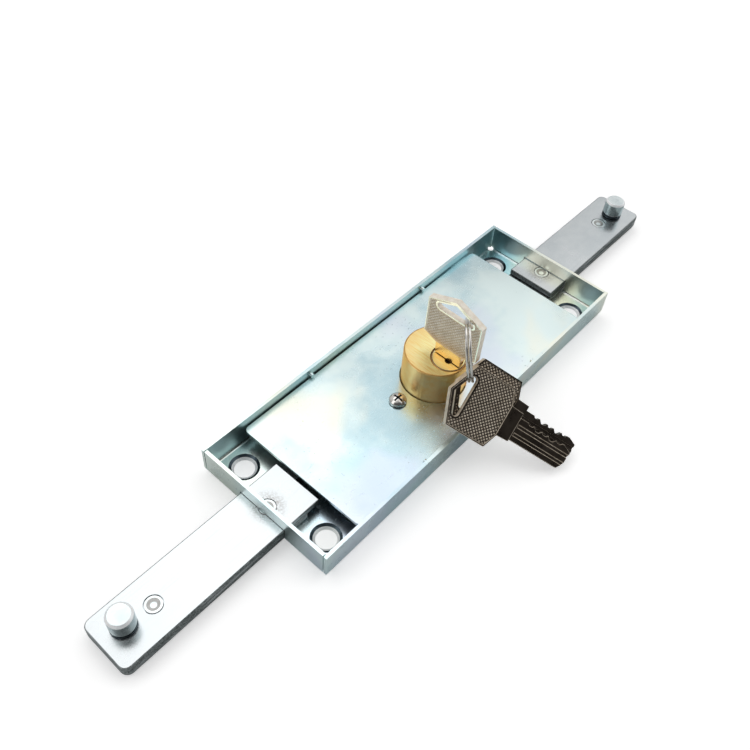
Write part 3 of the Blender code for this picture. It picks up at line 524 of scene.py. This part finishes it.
# Keys: where each lies, and the measures of its bow, from the solids
key_apex = Vector((0, -0.0091, 0.049))
across = Vector((0.8295, 0.1072, 0.5482)).normalized()
down = Vector((0.4187, -0.7689, -0.4832))
down = (down - across * down.dot(across)).normalized()
lying = Matrix((down.cross(across), across, -down)).transposed().to_4x4()
keys = {"inserted_key": Matrix.Translation(key_apex),
        "spare_key_1": Matrix.Translation((-0.013185, -0.019245, 0.027035)) @ lying,
        "spare_key_2": Matrix.Translation((-0.008763, -0.018616, 0.026245)) @ lying}
bow_half_width = 10.8 * mm
bow_roof = 4.6 * mm
bow_side = 19.9 * mm
bow_base = 22.0 * mm
bow_end = -22.2 * mm
neck_half_width = 5.4 * mm
bow_thickness = 2.3 * mm
bow_recess = 0.2 * mm
key_edge = 0.16 * mm

# The slot's corners (x, y, radius) in millimetres, and where the pattern ends and the rim starts
slot_ends = ((5.9, -5.7, 1.3), (0, -2.2, 0.5), (-5.9, -5.7, 1.3))
slot_clear = 0.75
slot_rim_start = 0.42
slot_rim_width = 0.40 * mm

# The pattern, with the shares of its pitch that half the net, its slope, the hollow and the
# side of a dot take up
knurl_pitch = 0.94 * mm
knurl_middle = 11 * mm
knurl_cells = 32
knurl_shares = (0.06, 0.08, 0.09, 0.09)
knurl_sunk = 0.02 * mm
net_depth = 0.07 * mm
dot_height = 0.15 * mm

# Turns the flat pattern upright, facing along x
standing = Matrix(((0, 0, 1, 0), (1, 0, 0, 0), (0, 1, 0, 0), (0, 0, 0, 1)))


def slot_outline(grow):
    """Points round the bow's slot, grown by some millimetres."""
    points = []
    for (x, y, r), (start, end) in zip(slot_ends, ((-90, 60), (60, 120), (120, 270))):
        steps = max(3, round((end - start) / 25))
        for i in range(steps + 1):
            angle = math.radians(start + (end - start) * i / steps)
            points.append(Vector((x + (r + grow) * math.cos(angle),
                                  y + (r + grow) * math.sin(angle), 0)) * mm)
    return points


def cut_along(bm, points, clear):
    """Cut a sheet along each side of a convex outline that runs anticlockwise."""
    for first, second in zip(points, points[1:] + points[:1]):
        side = second - first
        if side.length > touching:
            bmesh.ops.bisect_plane(bm, geom=[*bm.verts, *bm.edges, *bm.faces], dist=1e-7,
                                   plane_co=first, plane_no=(side.y, -side.x, 0), clear_outer=clear)


def inside(point, points):
    return all((b - a).x * (point - a).y - (b - a).y * (point - a).x > 0
               for a, b in zip(points, points[1:] + points[:1]) if (b - a).length > touching)


def knurl():
    """A sheet of raised dots in a raised net, cut to the bow's field and round its slot.

    Its looks by index: 0 the dots' sides and the border, 1 the hollows, 2 the dots' tops and
    the slot's rim, 3 the net."""
    bm = bmesh.new()
    bmesh.ops.create_grid(bm, x_segments=knurl_cells, y_segments=knurl_cells, size=0.5)
    size = knurl_pitch / min(e.calc_length() for e in bm.edges)
    bmesh.ops.scale(bm, vec=(size, size, 1), verts=bm.verts)
    bmesh.ops.rotate(bm, matrix=Matrix.Rotation(math.radians(45), 3, "Z"), verts=bm.verts)
    bmesh.ops.translate(bm, vec=(0, -knurl_middle, -net_depth), verts=bm.verts)
    cell = list(bm.faces)
    net, slope, hollow, side = (share * knurl_pitch for share in knurl_shares)
    inset = bmesh.ops.inset_individual
    inset(bm, faces=cell, thickness=net)
    slopes = inset(bm, faces=cell, thickness=slope, depth=net_depth - dot_height)["faces"]
    hollows = inset(bm, faces=cell, thickness=hollow)["faces"]
    inset(bm, faces=cell, thickness=side, depth=dot_height)
    for face in bm.faces:
        face.material_index = 3 * int(abs(face.calc_center_median().z + net_depth) < touching)
    for face in [*slopes, *hollows]:
        face.material_index = 1
    for face in cell:
        face.material_index = 2
    margin = 0.75 * mm
    reach = bow_half_width - margin
    field = [Vector((x, y, 0)) for x, y in (
        (0, -1.2 * margin),
        (-reach, -bow_roof - 0.6 * margin), (-reach, -bow_side + 0.6 * margin),
        (-neck_half_width, -bow_base + margin), (neck_half_width, -bow_base + margin),
        (reach, -bow_side + 0.6 * margin), (reach, -bow_roof - 0.6 * margin))]
    cut_along(bm, field, True)
    hole = slot_outline(slot_clear)
    cut_along(bm, hole, False)
    bmesh.ops.delete(bm, geom=[f for f in bm.faces if inside(f.calc_center_median(), hole)],
                     context="FACES")
    band = bm.faces.new([bm.verts.new(p) for p in slot_outline(slot_rim_start)])
    for face in bmesh.ops.inset_region(bm, faces=[band], thickness=slot_rim_width)["faces"]:
        face.material_index = 2
    bm.faces.remove(band)
    border = [e for e in bm.edges if e.is_boundary]
    skirt = bmesh.ops.extrude_edge_only(bm, edges=border)["geom"]
    for vert in skirt:
        if isinstance(vert, bmesh.types.BMVert):
            vert.co.z = -bow_recess
    sheet = bpy.data.meshes.new("knurl")
    bm.to_mesh(sheet)
    bm.free()
    return sheet


knurl_sheet = knurl()
for node, lie in keys.items():
    key = ease(solid_of(node), key_edge)
    level = (lie.to_3x3() @ Vector((1, 0, 0))).normalized()
    for face in key.faces:
        face.normal_update()
        steep = abs(face.normal.dot(level))
        on_bow = (lie.inverted() @ face.calc_center_median()).z > bow_end
        # Painted highlight: the bow's edges and sides and the blade's bevels take the lighter rim
        # finish
        face.material_index = 2 * int(steep < 0.97 and (on_bow or steep > 0.2))
    for turn in (0, 180):
        sheet = knurl_sheet.copy()
        sheet.transform(lie @ standing @ Matrix.Rotation(math.radians(turn), 4, "Y")
                        @ Matrix.Translation((0, 0, bow_thickness / 2 - knurl_sunk)))
        key.from_mesh(sheet)
        bpy.data.meshes.remove(sheet)
    # Loose keys: painted shade over all, painted highlights on edges, tops and the slot's rim; key
    # in use: painted highlights on edges, tops, slot rim and net
    show(node + "_finished", key, node,
         (spare_nickel_shade, spare_hollow_tarnish_and_shade, spare_rim_highlight, spare_hollow_tarnish_and_shade) if node.startswith("spare")
         else (metals["nickel_silver"], hollow_tarnish_and_shade, rim_highlight, rim_highlight))

# Split ring, its wire made round and a little fuller
wire_growth = 0.05 * mm
ring = solid_of("split_ring", flats=False)
for vert in ring.verts:
    vert.normal_update()
for vert in ring.verts:
    vert.co += vert.normal * wire_growth
wire = show("split_ring_finished", ring, "split_ring", crease=60)
rounded = wire.modifiers.new("round_wire", "SUBSURF")
rounded.levels = 1
rounded.render_levels = 1

for node, thing in frame["nodes"].items():
    thing.data.materials.clear()
    thing.data.materials.append(metals[slot_of[node]])


def studio():
    """White floor, soft light from above, and a camera where the photograph was taken."""
    bm = bmesh.new()
    bmesh.ops.create_circle(bm, cap_ends=True, segments=64, radius=3.0)
    mesh = bpy.data.meshes.new("floor")
    bm.to_mesh(mesh)
    bm.free()
    floor = bpy.data.objects.new("floor", mesh)
    floor.location.z = -0.1 * mm
    bpy.context.scene.collection.objects.link(floor)
    paper = bpy.data.materials.new("floor_paper")
    paper.use_nodes = True
    s = Surface(paper.node_tree)
    seen = s.add("LightPath", output="Is Camera Ray")
    glossy = s.add("LightPath", output="Is Glossy Ray")
    shade = s.blend(glossy, (0.9, 0.9, 0.9), (0.76, 0.80, 0.80))
    matt = s.add("BsdfDiffuse", inputs={"Color": shade})
    glow = s.add("Emission", inputs={"Color": (1, 1, 1, 1), "Strength": seen * 0.42})
    both = s.add("AddShader", inputs=(matt, glow))
    s.add("OutputMaterial", inputs={"Surface": both})
    mesh.materials.append(paper)

    world = bpy.data.worlds.new("studio")
    bpy.context.scene.world = world
    world.use_nodes = True
    s = Surface(world.node_tree)
    way = s.add("TexCoord", output="Generated")
    ceiling = s.towards(way, (0.10, 0.45, 0.89))
    window = s.towards(way, (0.66, -0.28, 0.70))
    height = s.towards(way, (0, 0, 1))
    dark_card = s.towards(way, (-0.10, -0.87, 0.47))
    walls = s.band(height, 0.25, 0.75, 0.50, 0.0) * (1 - s.band(dark_card, 0.76, 0.92))
    room = (s.band(ceiling, 0.64, 0.98, 0.13, 0.80) + s.band(window, 0.74, 0.93, 0.0, 0.85)
            + walls)
    seen = s.add("LightPath", output="Is Camera Ray")
    clear = s.add("LightPath", output="Is Transmission Ray")
    white = seen.math("MAXIMUM", seen, clear)
    strength = white + (1 - white) * room
    s.add("OutputWorld", inputs={"Surface": s.add("Background", inputs={
        "Color": (1, 1, 1, 1), "Strength": strength})})

    for name, place, size, power in (("softbox", (0.20, 0.55, 1.15), 0.7, 1.2),
                                     ("fill", (-0.8, 0.5, 0.9), 0.7, 1.5)):
        lamp = bpy.data.lights.new(name, "AREA")
        lamp.shape = "DISK"
        lamp.size = size
        lamp.energy = power
        holder = bpy.data.objects.new(name, lamp)
        holder.location = place
        holder.rotation_euler = Vector(place).to_track_quat("Z", "Y").to_euler()
        bpy.context.scene.collection.objects.link(holder)

    lens = bpy.data.cameras.new("camera")
    lens.lens = camera_lens
    lens.sensor_width = 36
    lens.clip_start = 0.01
    view = bpy.data.objects.new("camera", lens)
    view.location = camera_place
    view.rotation_euler = Euler([math.radians(a) for a in camera_turn])
    bpy.context.scene.collection.objects.link(view)
    bpy.context.scene.camera = view
    bpy.context.scene.view_settings.view_transform = "Standard"


studio()
bpy.context.view_layer.update()
